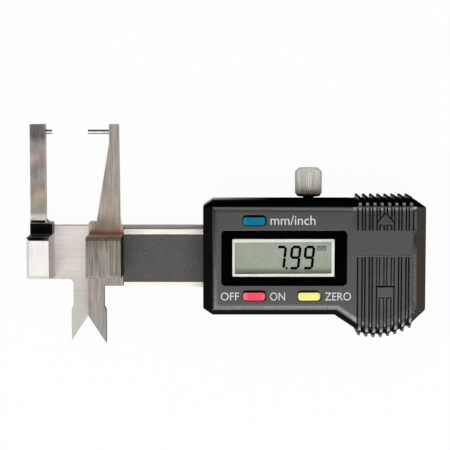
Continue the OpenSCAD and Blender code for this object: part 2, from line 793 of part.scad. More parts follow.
// Outline of the sliding jaw's plate and its tapered arm
module sliding_outline() {
    x1 = sliding_x + sliding_w - 0.1;
    step_y = beam_h / 2 + 0.4;
    root_x = x1 - 0.4;
    translate([sliding_x, sliding_y0]) square([x1 - sliding_x, step_y - sliding_y0]);
    polygon([[sliding_x, step_y - 1], [root_x, step_y - 1], [root_x, step_y + 0.3],
        [arm_tip_x1 + 0.2, sliding_y1 + 0.7], [arm_tip_x1, arm_top], [arm_tip_x, arm_top],
        [arm_tip_x, arm_taper_y], [sliding_x + 1.75, sliding_y1], [sliding_x + 0.2, sliding_y1],
        [sliding_x, sliding_y1 - 0.2]]);
}

// Sliding jaw: the plate, the measuring block, the tapered arm and the sliding inside jaw
module sliding_jaw() {
    color("#9a8f86") difference() {
        union() {
            translate([0, 0, slide_z0]) linear_extrude(slide_t) {
                sliding_outline();
                translate([lower_x + reading, 0]) mirror([1, 0]) lower_jaw_outline(sliding_y0 + 1);
            }
            measuring_block(sliding_x, sliding_x + sliding_w, slide_z1 - 0.5, 0, 0);
        }
        block([lap_x - lap_gap, block_y0 + 0.5 - lap_gap, slide_z0 - 1],
            [sliding_x + sliding_w + 1, block_y1 - 0.5 + lap_gap, slide_z0 + lap_t + lap_gap]);
        for (y = jaw_screw_ys)
            translate([rivet_x(), y, slide_z0 - 1]) cylinder(h = slide_t + 3, d = screw_d);
        bar_x(arm_tip_x - 1, arm_tip_x + 1.5, pin_y, pin_z, pin_d);
    }
}

// Measuring pin in the sliding arm
module sliding_pin() {
    color("#d9dbd2") bar_x(pin_meet + sliding_x, arm_tip_x + 1.5, pin_y, pin_z, pin_d);
}

// Two rivets through the lap joint
module jaw_rivets() {
    color("#c8c8c8") for (y = jaw_screw_ys)
        translate([rivet_x(), y, slide_z0 + 0.05]) cylinder(h = slide_t + 1.5, d = screw_d);
}

// Stop pin, which runs in the frame plate's slot
module stop_pin() {
    color("#c8c8c8") translate([stop_x, 0, plate_t - stop_depth])
        cylinder(h = stop_depth + 0.1 + slide_t / 2, d = stop_d);
}

// A push button with a flange under the face
module push_button(x, y) {
    l = button_l;
    h = button_h;
    top = face_z + button_proud;
    crown = 9;
    intersection() {
        translate([0, 0, flange_z0 + 0.3]) linear_extrude(top - flange_z0)
            round_rect(x - l / 2, y - h / 2, l, h, 0.6);
        translate([x, y + h, top - crown]) rotate([90, 0, 0]) cylinder(h = 2 * h, r = crown, $fn = 96);
    }
    translate([0, 0, flange_z0]) linear_extrude(flange_z1 - flange_z0)
        round_rect(x - l / 2 - flange, y - h / 2 - flange, l + 2 * flange, h + 2 * flange, 0.8);
}

// Button that changes the unit
module unit_button() {
    color("#1f86b4") push_button(unit_x, unit_y);
}

// Button that turns the gauge on and off
module power_button() {
    color("#e2506a") push_button(unit_x, power_y);
}

// Button that sets the reading to zero
module zero_button() {
    color("#f2e66e") push_button(zero_x, power_y);
}

// Battery cover: the ribbed front and top wall over the cell, with a tongue along each side
module battery_cover() {
    color("#3f3c39") difference() {
        union() {
            intersection() {
                bevelled(main_outline, main_edges);
                union() {
                    block([cover_x0, cover_y0, face_z - cover_t], [cover_x1, housing_y1 + 1, face_z + 1]);
                    block([cover_x0, housing_y1 - wall, plate_t + 0.3],
                        [cover_x1, housing_y1 + 1, face_z + 1]);
                }
            }
            intersection() {
                upper_ridges(housing_y1 - wall + 0.1);
                block([cover_x0, cover_y0, 0], [cover_x1, housing_y1 + 5, face_z + 1]);
            }
            for (x = [cover_x0 - tongue, cover_x1 - cover_rib])
                block([x, cover_y0, tongue_z0],
                    [x + tongue + cover_rib, housing_y1 - wall - 1.2, tongue_z1]);
            for (x = [cover_x0, cover_x1 - cover_rib])
                block([x, cover_y0, tongue_z0],
                    [x + cover_rib, housing_y1 - wall + eps, face_z - cover_t + eps]);
        }
        difference() {
            grooves(band_y, housing_y1 + 5);
            linear_extrude(face_z + 2)
                polygon([[cell_x - mark_w, 0], [cell_x + mark_w, 0], [cell_x + mark_w, 8.9],
                    [cell_x, 10.75], [cell_x - mark_w, 8.9]]);
        }
        ridge_ends(band_y + groove_w / 2, 8.15);
        face_groove([cell_x - 1.85, 8.8], [cell_x, 10.75], 0.38);
        face_groove([cell_x, 10.75], [cell_x + 1.85, 8.8], 0.38);
    }
}

// Brass pad at the tip of the lock screw
module lock_pad() {
    color("#b8963e") bar_y(gib_y1 + lock_play, gib_y1 + lock_play + pad_l, lock_x, lock_z, 1.8);
}

// Lock screw with its fluted knob
module lock_screw() {
    y0 = gib_y1 + lock_play + pad_l;
    r = knob_d / 2;
    color("#a89f92") translate([lock_x, 0, lock_z]) difference() {
        rotate([-90, 0, 0]) rotate_extrude()
            polygon([[0, y0], [lock_d / 2, y0], [lock_d / 2, knob_y0], [r - 0.5, knob_y0],
                [r, knob_y0 + 0.7], [r, knob_y0 + knob_l - 0.85], [r - 0.9, knob_y0 + knob_l],
                [0, knob_y0 + knob_l]]);
        for (i = [0 : flutes - 1])
            rotate([0, i * 360 / flutes, 0]) translate([r, knob_y0 - 1, 0])
                rotate([0, 45, 0]) block([-0.13, 0, -0.13], [0.13, knob_l + 2, 0.13]);
    }
}

frame_plate();
fixed_jaw();
fixed_pin();
jaw_screws();
guide_rails();
rail_screws();
gib_strip();
gib_screws();
housing_shell();
housing_screws();
window_lens();
display_frame();
display_panel();
contact_strips();
circuit_board();
chip_cover();
key_switches();
button_cell();
cell_spring();
cell_clip();
beam();
scale_board();
scale_label();
sliding_jaw();
sliding_pin();
jaw_rivets();
stop_pin();
unit_button();
power_button();
zero_button();
battery_cover();
lock_pad();
lock_screw();
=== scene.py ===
from math import pi, radians, tan

import bpy
from mathutils import Matrix, Vector
from mathutils.bvhtree import BVHTree


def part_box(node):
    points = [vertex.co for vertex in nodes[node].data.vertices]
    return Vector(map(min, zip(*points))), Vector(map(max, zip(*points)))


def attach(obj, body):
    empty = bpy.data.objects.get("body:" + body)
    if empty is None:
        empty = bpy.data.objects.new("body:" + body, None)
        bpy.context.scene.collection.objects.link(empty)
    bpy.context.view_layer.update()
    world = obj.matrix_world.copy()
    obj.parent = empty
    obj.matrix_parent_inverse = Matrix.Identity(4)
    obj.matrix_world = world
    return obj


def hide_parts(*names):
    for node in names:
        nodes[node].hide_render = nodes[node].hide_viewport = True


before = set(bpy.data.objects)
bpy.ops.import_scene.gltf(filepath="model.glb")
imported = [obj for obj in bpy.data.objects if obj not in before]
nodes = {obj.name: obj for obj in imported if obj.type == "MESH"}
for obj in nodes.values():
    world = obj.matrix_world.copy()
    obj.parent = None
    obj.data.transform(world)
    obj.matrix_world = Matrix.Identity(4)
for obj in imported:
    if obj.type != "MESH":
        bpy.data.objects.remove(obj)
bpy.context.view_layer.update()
bpy.ops.object.select_all(action="DESELECT")

# The studio: the gauge lies on its back on a plain pale table. A wide soft lamp stands on the
# side of the inside jaws, a weaker one opposite, and the ceiling above the camera is dark.
scene = bpy.context.scene
scene.view_settings.view_transform = "Standard"
MM = 0.001
TABLE_SIZE = 6
TABLE_TOP = (40, 0, -0.03)
TABLE_WHITE = 0.9
TABLE_GLOW = 0.96
bpy.ops.mesh.primitive_plane_add(size=TABLE_SIZE, location=[place * MM for place in TABLE_TOP])
table_top = bpy.context.object
table_top.name = "table_top"
table_paint = bpy.data.materials.new("table paint")
table_paint.use_nodes = True
tree = table_paint.node_tree
tree.nodes.clear()
paint = tree.nodes.new("ShaderNodeBsdfDiffuse")
paint.inputs["Color"].default_value = (TABLE_WHITE, TABLE_WHITE, TABLE_WHITE, 1)
glow = tree.nodes.new("ShaderNodeEmission")
rays = tree.nodes.new("ShaderNodeLightPath")
seen = tree.nodes.new("ShaderNodeMath")
seen_through = tree.nodes.new("ShaderNodeMath")
share = tree.nodes.new("ShaderNodeMath")
blend = tree.nodes.new("ShaderNodeMixShader")
output = tree.nodes.new("ShaderNodeOutputMaterial")
seen.operation = seen_through.operation = "ADD"
seen_through.use_clamp = True
share.operation = "MULTIPLY"
share.inputs[1].default_value = TABLE_GLOW
tree.links.new(rays.outputs["Is Camera Ray"], seen.inputs[0])
tree.links.new(rays.outputs["Is Glossy Ray"], seen.inputs[1])
tree.links.new(seen.outputs[0], seen_through.inputs[0])
tree.links.new(rays.outputs["Is Transmission Ray"], seen_through.inputs[1])
tree.links.new(seen_through.outputs[0], share.inputs[0])
tree.links.new(share.outputs[0], blend.inputs[0])
tree.links.new(paint.outputs[0], blend.inputs[1])
tree.links.new(glow.outputs[0], blend.inputs[2])
tree.links.new(blend.outputs[0], output.inputs["Surface"])
table_top.data.materials.append(table_paint)

ROOM_LEVELS = ((0.0, 0.75), (0.3, 0.5), (0.7, 0.3), (0.92, 0.03))
ROOM_TINT = (0.97, 0.98, 1.0)
CEILING_LEVEL = 0.01
room = bpy.data.worlds.new("room")
room.use_nodes = True
walls = room.node_tree
sky = walls.nodes.new("ShaderNodeTexCoord")
height = walls.nodes.new("ShaderNodeSeparateXYZ")
ceiling = walls.nodes.new("ShaderNodeValToRGB")
for place, level in ROOM_LEVELS:
    stop = ceiling.color_ramp.elements.new(place)
    stop.color = (*(level * tint for tint in ROOM_TINT), 1)
ceiling.color_ramp.elements.remove(ceiling.color_ramp.elements[0])
ceiling.color_ramp.elements[-1].color = (CEILING_LEVEL, CEILING_LEVEL, CEILING_LEVEL, 1)
walls.links.new(sky.outputs["Generated"], height.inputs[0])
walls.links.new(height.outputs["Z"], ceiling.inputs["Fac"])
walls.links.new(ceiling.outputs["Color"], walls.nodes["Background"].inputs["Color"])
scene.world = room

LAMP_TARGET = Vector((0.04, 0, 0.01))


def soft_lamp(name, place, length, width, radiance):
    """A rectangular lamp turned to the gauge, with place and sides in metres."""
    bpy.ops.object.light_add(type="AREA", location=place)
    lamp = bpy.context.object
    lamp.name = name
    lamp.data.shape = "RECTANGLE"
    lamp.data.size = length
    lamp.data.size_y = width
    lamp.data.energy = radiance * length * width * pi
    lamp.rotation_euler = (LAMP_TARGET - Vector(place)).to_track_quat("-Z", "Y").to_euler()


soft_lamp("wide_lamp", (0.04, -0.30, 0.52), length=0.75, width=0.32, radiance=3.6)
soft_lamp("far_lamp", (0.04, 0.30, 0.52), length=0.6, width=0.28, radiance=1.8)

VIEW_TILT = 5
VIEW_DISTANCE = 350
VIEW_TARGET = Vector((38.34, 7.28, 4.6))
VIEW_LENS = 125.16
bpy.ops.object.camera_add(rotation=(radians(-VIEW_TILT), 0, 0))
camera = bpy.context.object
camera.location = (VIEW_TARGET + camera.rotation_euler.to_matrix() @ Vector((0, 0, VIEW_DISTANCE))) * MM
camera.data.sensor_width = 36
camera.data.lens = VIEW_LENS
scene.camera = camera

# The frame plate: ground steel, brushed along the slide, with a fixed inside jaw at its end.
# It carries everything else. Its ground faces are bright, and its sides are painted darker, as shade.
WELD = 0.002
FLAT_ANGLE = 0.3
EASE_STEPS = 2
EASE_ANGLE = 28
STRAY = 0.05
SLIVER = 0.001
ALONG_SLIDE = (120, 4500, 4500)
GROUND = (0.45, 0.55)


def only(piece):
    """Selects one piece and makes it the active one."""
    bpy.ops.object.select_all(action="DESELECT")
    piece.select_set(True)
    bpy.context.view_layer.objects.active = piece


def finished(piece, modifier):
    """Applies a modifier to the piece's mesh."""
    only(piece)
    bpy.ops.object.modifier_apply(modifier=modifier.name)


def levelled(piece):
    """Gives flat faces level normals, so that only the eased edges look round."""
    level = piece.modifiers.new("level faces", "WEIGHTED_NORMAL")
    level.weight = 100
    level.keep_sharp = True
    finished(piece, level)


def settled(piece, skin):
    """Moves corners that the easing left off the CAD skin onto a neighbour, or onto the skin."""
    strays = {}
    for corner in piece.data.vertices:
        if skin.find_nearest(corner.co)[3] > STRAY * MM:
            strays[corner.index] = []
    for edge in piece.data.edges:
        one, other = edge.vertices
        for near, far in ((one, other), (other, one)):
            if near in strays and far not in strays:
                strays[near].append(piece.data.vertices[far].co.copy())
    for number, spots in strays.items():
        corner = piece.data.vertices[number]
        spots = spots or [skin.find_nearest(corner.co)[0]]
        corner.co = min(spots, key=lambda spot: (spot - corner.co).length)
    only(piece)
    bpy.ops.object.mode_set(mode="EDIT")
    bpy.ops.mesh.select_all(action="SELECT")
    bpy.ops.mesh.dissolve_degenerate(threshold=SLIVER * MM)
    bpy.ops.object.mode_set(mode="OBJECT")


def eased(node, name, width, clamp=True, keep=None, before=None):
    """A copy of a CAD node with eased edges, apart from the sharp ones that keep() picks."""
    piece = bpy.data.objects.new(name, nodes[node].data.copy())
    scene.collection.objects.link(piece)
    only(piece)
    bpy.ops.object.mode_set(mode="EDIT")
    bpy.ops.mesh.select_all(action="SELECT")
    bpy.ops.mesh.customdata_custom_splitnormals_clear()
    bpy.ops.mesh.remove_doubles(threshold=WELD * MM)
    bpy.ops.mesh.dissolve_limited(angle_limit=radians(FLAT_ANGLE))
    bpy.ops.mesh.mark_sharp(clear=True)
    bpy.ops.mesh.faces_shade_smooth()
    bpy.ops.object.mode_set(mode="OBJECT")
    if before:
        before(piece)
    cad = nodes[node].data
    skin = BVHTree.FromPolygons([corner.co for corner in cad.vertices], [face.vertices[:] for face in cad.polygons])
    bevel = piece.modifiers.new("eased edges", "BEVEL")
    bevel.width = width * MM
    bevel.segments = EASE_STEPS
    bevel.angle_limit = radians(EASE_ANGLE)
    bevel.use_clamp_overlap = clamp
    if keep:
        bpy.ops.object.mode_set(mode="EDIT")
        bpy.ops.mesh.select_mode(type="EDGE")
        bpy.ops.mesh.select_all(action="DESELECT")
        bpy.ops.mesh.edges_select_sharp(sharpness=radians(EASE_ANGLE))
        bpy.ops.object.mode_set(mode="OBJECT")
        points = piece.data.vertices
        weights = piece.data.attributes.new("bevel_weight_edge", "FLOAT", "EDGE")
        for edge in piece.data.edges:
            kept = edge.select and keep(*(points[number].co / MM for number in edge.vertices))
            weights.data[edge.index].value = float(edge.select and not kept)
            edge.use_edge_sharp = kept
        bevel.limit_method = "WEIGHT"
    finished(piece, bevel)
    settled(piece, skin)
    levelled(piece)
    return piece


def dress(piece, material):
    """Puts one material on the whole piece."""
    if not piece.material_slots:
        piece.data.materials.append(material)
    for place in piece.material_slots:
        place.material = material


def surface(name, metal=0.0):
    """A new material with its node tree and its shader."""
    material = bpy.data.materials.new(name)
    material.use_nodes = True
    shader = material.node_tree.nodes["Principled BSDF"]
    shader.inputs["Metallic"].default_value = metal
    return material, material.node_tree, shader


def pattern(tree, stretch, detail=3.0, roughness=0.5):
    """Noise that is finer along an axis the larger its stretch is."""
    place = tree.nodes.new("ShaderNodeTexCoord")
    mapping = tree.nodes.new("ShaderNodeMapping")
    noise = tree.nodes.new("ShaderNodeTexNoise")
    mapping.inputs["Scale"].default_value = stretch
    noise.inputs["Scale"].default_value = 1
    noise.inputs["Detail"].default_value = detail
    noise.inputs["Roughness"].default_value = roughness
    tree.links.new(place.outputs["Object"], mapping.inputs["Vector"])
    tree.links.new(mapping.outputs["Vector"], noise.inputs["Vector"])
    return noise.outputs["Fac"]


def graded(tree, value, *stops):
    """Turns a value from 0 to 1 into a grey or a colour, by stops of place and tone."""
    ramp = tree.nodes.new("ShaderNodeValToRGB")
    ramp.color_ramp.elements.remove(ramp.color_ramp.elements[0])
    for number, (place, colour) in enumerate(stops):
        stop = ramp.color_ramp.elements[0] if number == 0 else ramp.color_ramp.elements.new(place)
        stop.position = place
        stop.color = (*colour, 1) if isinstance(colour, tuple) else (colour, colour, colour, 1)
    tree.links.new(value, ramp.inputs["Fac"])
    return ramp.outputs["Color"]


def shaded(tree, colour, by, amount=1.0):
    """Multiplies two colours, the second with the given amount of effect."""
    mix = tree.nodes.new("ShaderNodeMix")
    mix.data_type = "RGBA"
    mix.blend_type = "MULTIPLY"
    mix.inputs["Factor"].default_value = amount
    tree.links.new(colour, mix.inputs["A"])
    tree.links.new(by, mix.inputs["B"])
    return mix.outputs["Result"]


def blended(tree, amount, first, last):
    """Goes from the first tone to the last as the amount rises. A tone may be a plain tuple."""
    mix = tree.nodes.new("ShaderNodeMix")
    mix.data_type = "RGBA"
    for value, place in ((amount, "Factor"), (first, "A"), (last, "B")):
        if isinstance(value, tuple):
            mix.inputs[place].default_value = value
        else:
            tree.links.new(value, mix.inputs[place])
    return mix.outputs["Result"]


def scaled(tree, colour, by):
    """Multiplies a colour by a number, which may be over 1."""
    product = tree.nodes.new("ShaderNodeVectorMath")
    product.operation = "SCALE"
    tree.links.new(colour, product.inputs[0])
    tree.links.new(by, product.inputs["Scale"])
    return product.outputs[0]


def ranged(tree, value, low, high, first=0.3, last=0.7):
    """Stretches the range from first to last over the range from low to high."""
    span = tree.nodes.new("ShaderNodeMapRange")
    span.inputs["From Min"].default_value = first
    span.inputs["From Max"].default_value = last
    span.inputs["To Min"].default_value = low
    span.inputs["To Max"].default_value = high
    tree.links.new(value, span.inputs["Value"])
    return span.outputs["Result"]


def along(tree, axis, first, last):
    """Rises from 0 to 1 between two places in mm on an axis."""
    place = tree.nodes.new("ShaderNodeTexCoord")
    split = tree.nodes.new("ShaderNodeSeparateXYZ")
    tree.links.new(place.outputs["Object"], split.inputs[0])
    return ranged(tree, split.outputs[axis], 0, 1, first * MM, last * MM)


def facing(tree, axis):
    """How much the surface faces along an axis, from -1 to 1."""
    place = tree.nodes.new("ShaderNodeTexCoord")
    split = tree.nodes.new("ShaderNodeSeparateXYZ")
    tree.links.new(place.outputs["Normal"], split.inputs[0])
    return split.outputs[axis]


def bumped(tree, shader, height, strength, depth):
    """Roughens the surface with a pattern that is depth mm deep."""
    bump = tree.nodes.new("ShaderNodeBump")
    bump.inputs["Strength"].default_value = strength
    bump.inputs["Distance"].default_value = depth * MM
    tree.links.new(height, bump.inputs["Height"])
    tree.links.new(bump.outputs["Normal"], shader.inputs["Normal"])


def brushed(name, dark, light, stretch, roughness, cloud=0.25, side_shade=0.4):
    """Steel or brass with fine lines, a cloudy haze, and sides painted darker than its top, as shade."""
    material, tree, shader = surface(name, 1.0)
    lines = pattern(tree, stretch, detail=4, roughness=0.6)
    clouds = pattern(tree, (160, 160, 160), detail=2)
    colour = graded(tree, lines, (0.32, dark), (0.68, light))
    haze = graded(tree, clouds, (0.3, (0.75, 0.73, 0.71)), (0.7, 1.0))
    # The sides are painted darker than the top, as shade.
    cut = graded(tree, facing(tree, "Z"), (0.3, side_shade), (0.75, 1.0))
    colour = shaded(tree, shaded(tree, colour, haze, cloud), cut)
    tree.links.new(colour, shader.inputs["Base Color"])
    tree.links.new(ranged(tree, lines, *roughness), shader.inputs["Roughness"])
    bumped(tree, shader, lines, strength=0.35, depth=0.01)
    return material, tree, shader, colour


plate_steel, tree, shader, colour = brushed(
    "plate steel", (0.84, 0.79, 0.74), (1.0, 0.95, 0.89), ALONG_SLIDE, GROUND, cloud=0.25, side_shade=0.25)
plate_tone = graded(
    tree, along(tree, "Y", -20, 8), (0.0, (0.51, 0.52, 0.53)), (0.45, (0.6, 0.61, 0.6)), (0.58, (0.7, 0.7, 0.69)),
    (0.72, 0.8), (0.9, 1.0))
tree.links.new(shaded(tree, colour, plate_tone), shader.inputs["Base Color"])
plate = eased("frame_plate", "ground_frame_plate", width=0.12)
dress(plate, plate_steel)
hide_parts("frame_plate")
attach(plate, "gauge_frame")

# The fixed jaw: a milled steel block with an upright arm, screwed to the plate from behind.
# The arm is brushed lengthways and stained. The recess between arm and block is painted black as
# shade, the fillet above it has a painted highlight, and faces away from the wide lamp are painted
# dark.
jaw_steel, tree, shader, colour = brushed(
    "fixed jaw steel", (0.88, 0.875, 0.86), (1.0, 1.0, 1.0), (3500, 130, 3500), (0.4, 0.52), cloud=0.3, side_shade=0.78)
# Along the jaw: the block's front, then the recess painted black as shade, the fillet's painted highlight, the arm's
# tones, and its upper end painted darker.
tone_and_painted_light = graded(
    tree, along(tree, "Y", -6, 30), (0.0, (0.97, 0.95, 0.92)), (0.313, (0.97, 0.95, 0.92)), (0.32, 0.012),
    (0.383, 0.012), (0.395, (0.94, 0.91, 0.85)), (0.43, (0.93, 0.89, 0.82)), (0.45, (0.47, 0.45, 0.42)),
    (0.56, (0.63, 0.52, 0.43)), (0.68, (0.45, 0.43, 0.42)), (0.78, (0.61, 0.535, 0.49)), (0.87, (0.46, 0.43, 0.41)),
    (0.92, (0.25, 0.24, 0.23)), (1.0, (0.33, 0.32, 0.31)))
# Faces away from the wide lamp are painted near-black as shade, greyer at the left end and brownish at the right.
painted_back_face_shade = graded(
    tree, along(tree, "X", -6.5, 0.5), (0.0, 0.35), (0.21, 0.2), (0.29, 0.006), (0.74, 0.006),
    (0.86, (0.09, 0.07, 0.05)))
painted_shade_away_from_lamp = graded(tree, facing(tree, "Y"), (0.25, 0.0), (0.6, 1.0))
stains = graded(tree, pattern(tree, (420, 260, 420)), (0.42, 1.0), (0.62, (0.72, 0.62, 0.56)))
# The arm's edges are painted lighter than its middle, as a highlight; the stains are its own.
painted_arm_edge_highlight = graded(
    tree, along(tree, "X", -4.9, -1.55), (0.0, 1.0), (0.15, 0.85), (0.5, 0.76), (0.85, 0.85), (1.0, 1.0))
on_arm = graded(tree, along(tree, "Y", 8, 12), (0.2, 0.0), (0.8, 0.8))
toned_jaw = shaded(tree, colour, tone_and_painted_light)
stains_and_edge_highlight = blended(tree, on_arm, toned_jaw, shaded(tree, shaded(tree, toned_jaw, stains), painted_arm_edge_highlight))
tree.links.new(blended(tree, painted_shade_away_from_lamp, stains_and_edge_highlight, painted_back_face_shade), shader.inputs["Base Color"])
fixed_jaw = eased("fixed_jaw", "ground_fixed_jaw", width=0.12)
dress(fixed_jaw, jaw_steel)
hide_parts("fixed_jaw")
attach(fixed_jaw, "gauge_frame")

# The sliding jaw: a plate with a long tapered arm, a measuring block and an inside jaw, all of
# one piece of steel and riveted to the beam. It is brushed along the arm and looks brownish.
sliding_steel, tree, shader, colour = brushed(
    "sliding jaw steel", (0.55, 0.55, 0.52), (1.0, 1.0, 1.0), (4200, 160, 4200), GROUND, cloud=0.4, side_shade=0.9)
# Just above the block's top, a thin band is painted dark brown as shade, and the plate above it is painted lighter, as
# light.
tone_and_painted_light = graded(
    tree, along(tree, "Y", -20, 30), (0.0, (0.4, 0.41, 0.4)), (0.14, (0.41, 0.41, 0.4)), (0.18, (0.45, 0.4, 0.36)),
    (0.33, (0.51, 0.44, 0.4)), (0.505, (0.51, 0.44, 0.4)), (0.51, (0.43, 0.24, 0.16)), (0.53, (0.98, 0.74, 0.6)),
    (0.55, (1.0, 0.84, 0.73)), (0.575, (0.68, 0.58, 0.51)), (0.7, (0.51, 0.45, 0.41)), (1.0, (0.57, 0.51, 0.47)))
upper_tone = graded(
    tree, along(tree, "Y", -3, 6), (0.0, (0.86, 0.95, 0.98)), (0.6, (0.84, 0.9, 0.9)), (0.95, (0.6, 0.63, 0.59)))
streaks = graded(tree, pattern(tree, (2600, 60, 2600), roughness=0.7), (0.42, (0.5, 0.48, 0.42)), (0.55, 1.0))
# Faces away from the wide lamp are painted darker, as shade.
painted_shade_away_from_lamp = graded(tree, facing(tree, "Y"), (0.3, 1.0), (0.65, (0.85, 0.75, 0.6)))
# Below the arm, faces towards +X are painted near-black, as shade.
painted_end_shade = graded(tree, facing(tree, "X"), (0.5, 1.0), (0.9, 0.04))
raised = graded(tree, along(tree, "Z", 8, 16), (0.5, 0.0), (0.6, 1.0))
below_arm = graded(tree, along(tree, "Y", 5, 9), (0.3, 1.0), (0.7, 0.0))
colour = shaded(tree, shaded(tree, colour, tone_and_painted_light), painted_shade_away_from_lamp)
# On the block, faces towards the wide lamp are painted lighter, as a highlight.
streaked_with_painted_highlight = scaled(tree, shaded(tree, shaded(tree, colour, streaks, 0.75), upper_tone),
               ranged(tree, facing(tree, "Y"), 1.5, 1.0, -0.6, -0.2))
colour = blended(tree, raised, colour, streaked_with_painted_highlight)
colour = blended(tree, below_arm, colour, shaded(tree, colour, painted_end_shade))
tree.links.new(colour, shader.inputs["Base Color"])
sliding_jaw = eased("sliding_jaw", "ground_sliding_jaw", width=0.12)
dress(sliding_jaw, sliding_steel)
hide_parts("sliding_jaw")
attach(sliding_jaw, "slider")

# The beam: a flat steel bar that slides between the guide rails and carries the sliding jaw.
# Its bright brushed bands show on both sides of a dark film, glued over the scale's circuit.
beam_steel, tree, shader, colour = brushed(
    "beam steel", (0.88, 0.84, 0.77), (1.0, 0.96, 0.89), ALONG_SLIDE, GROUND, cloud=0.3, side_shade=0.7)
# Faces away from the wide lamp are painted dark brown, as shade.
painted_shade_away_from_lamp = graded(tree, facing(tree, "Y"), (0.3, 1.0), (0.65, (0.2, 0.17, 0.12)))
tree.links.new(shaded(tree, colour, painted_shade_away_from_lamp), shader.inputs["Base Color"])
beam = eased("beam", "ground_beam", width=0.1)
dress(beam, beam_steel)
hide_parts("beam")
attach(beam, "slider")


def moulded(name, dark, light, roughness, grain, depth, shine=0.5, cloud=0.5):
    """Plastic, ink or resin with fine specks and a cloudy haze. A larger grain is finer."""
    material, tree, shader = surface(name)
    specks = pattern(tree, (grain, grain, grain), roughness=0.6)
    clouds = pattern(tree, (300, 300, 300), detail=2)
    colour = graded(tree, specks, (0.35, dark), (0.65, light))
    haze = graded(tree, clouds, (0.3, (0.8, 0.78, 0.77)), (0.7, 1.0))
    colour = shaded(tree, colour, haze, cloud)
    tree.links.new(colour, shader.inputs["Base Color"])
    tree.links.new(ranged(tree, specks, *roughness), shader.inputs["Roughness"])
    shader.inputs["Specular IOR Level"].default_value = shine
    bumped(tree, shader, specks, strength=0.4, depth=depth)
    return material, tree, shader, colour


film = moulded(
    "scale film", (0.07, 0.068, 0.066), (0.12, 0.118, 0.115), (0.4, 0.5), grain=3000, depth=0.005, shine=0.3)[0]
dress(nodes["scale_label"], film)

# The measuring pins: two polished steel rods, pressed into the arms. They shine along the top,
# and their colour is painted dark on the side away from the wide lamp, as shade.
pin_steel, tree, shader = surface("pin steel", 1.0)
turning = pattern(tree, (4000, 300, 300), detail=2)
rod = graded(tree, turning, (0.3, (0.5, 0.55, 0.48)), (0.7, (0.6, 0.64, 0.57)))
# Painted shade: dark on the side away from the wide lamp, and darker on the side facing it.
painted_far_side_shade = graded(tree, facing(tree, "Y"), (0.0, 1.0), (0.2, 0.95), (0.5, 0.12), (1.0, 0.01))
painted_under_shade = ranged(tree, facing(tree, "Y"), 0.4, 1.0, -1, -0.3)
tree.links.new(shaded(tree, shaded(tree, rod, painted_far_side_shade), painted_under_shade), shader.inputs["Base Color"])
shader.inputs["Roughness"].default_value = 0.4
for node in ("fixed_pin", "sliding_pin"):
    dress(nodes[node], pin_steel)

# The housing and its battery cover: moulded in dark plastic. The face is finely spark-eroded
# and looks grey; the bevel and the walls come off a polished mould and look black. The shoulder
# between them shines by its gloss and by a painted highlight, and the ribs of the grip run on
# over the cover. Painted light and shade also lie on the face, the walls and the ribs' ends.
GRIP_CENTRE = (71.25, -1.9)
GRIP_LEFT = 66
TIP_RADIUS = 14.1
RIGHT_RIM = (79.05, 80.05)
LOW_TILT = (-0.3, -0.04)
UNCHANGED = (1, 1, 1, 1)


def from_centre(tree, low, high):
    """How far a point lies from the grip's centre, from 0 at one radius in mm to 1 at another."""
    place = tree.nodes.new("ShaderNodeTexCoord").outputs["Object"]
    centre = [v * MM for v in GRIP_CENTRE] + [0]
    for operation, by in (("SUBTRACT", centre), ("MULTIPLY", (1, 1, 0)), ("LENGTH", None)):
        step = tree.nodes.new("ShaderNodeVectorMath")
        step.operation = operation
        if by:
            step.inputs[1].default_value = by
        tree.links.new(place, step.inputs[0])
        place = step.outputs[0]
    return ranged(tree, step.outputs["Value"], 0, 1, low * MM, high * MM)


face_plastic, tree, shader, colour = moulded(
    "face plastic", (0.018, 0.0165, 0.0155), (0.064, 0.0595, 0.055), (0.42, 0.5), grain=4200, depth=0.008,
    shine=0.75, cloud=0.15)
tree.links.new(ranged(tree, facing(tree, "Z"), 0.22, 0.5, 0.97, 1.0), shader.inputs["Roughness"])
# Painted light on the face: the lower shoulder is painted much lighter as a highlight, the upper shoulder lighter in
# the grip and a little darker beside it, and the face lighter towards the wide lamp.
painted_low_highlight = ranged(tree, facing(tree, "Y"), 3.2, 1.0, *LOW_TILT)
in_grip = graded(tree, along(tree, "X", GRIP_LEFT, 82), (0.0, 0.0), (0.02, 1.0))
painted_upper_edge_light = blended(tree, in_grip, *(ranged(tree, facing(tree, "Y"), 1.0, high, 0.04, 0.3) for high in (0.9, 5.5)))
painted_light_falloff = ranged(tree, along(tree, "Y", -12, 12), 1.16, 0.86, 0, 1)
middle_ribs = graded(
    tree, along(tree, "X", GRIP_LEFT, 80), (0.0, 0.0), (0.02, 1.0), (0.6, 1.0), (0.8, 0.25), (1.0, 0.1))
upper_ribs = graded(tree, along(tree, "Y", 6.9, 11.7), (0.0, 1.0), (0.1, 0.6), (0.7, 0.45), (0.9, 1.0))
rib_tone = blended(tree, middle_ribs, UNCHANGED, upper_ribs)
shoulder_foot = graded(tree, along(tree, "Y", 10.8, 11.7), (0.0, 1.0), (0.3, 0.5), (0.65, 0.5), (0.9, 1.0))
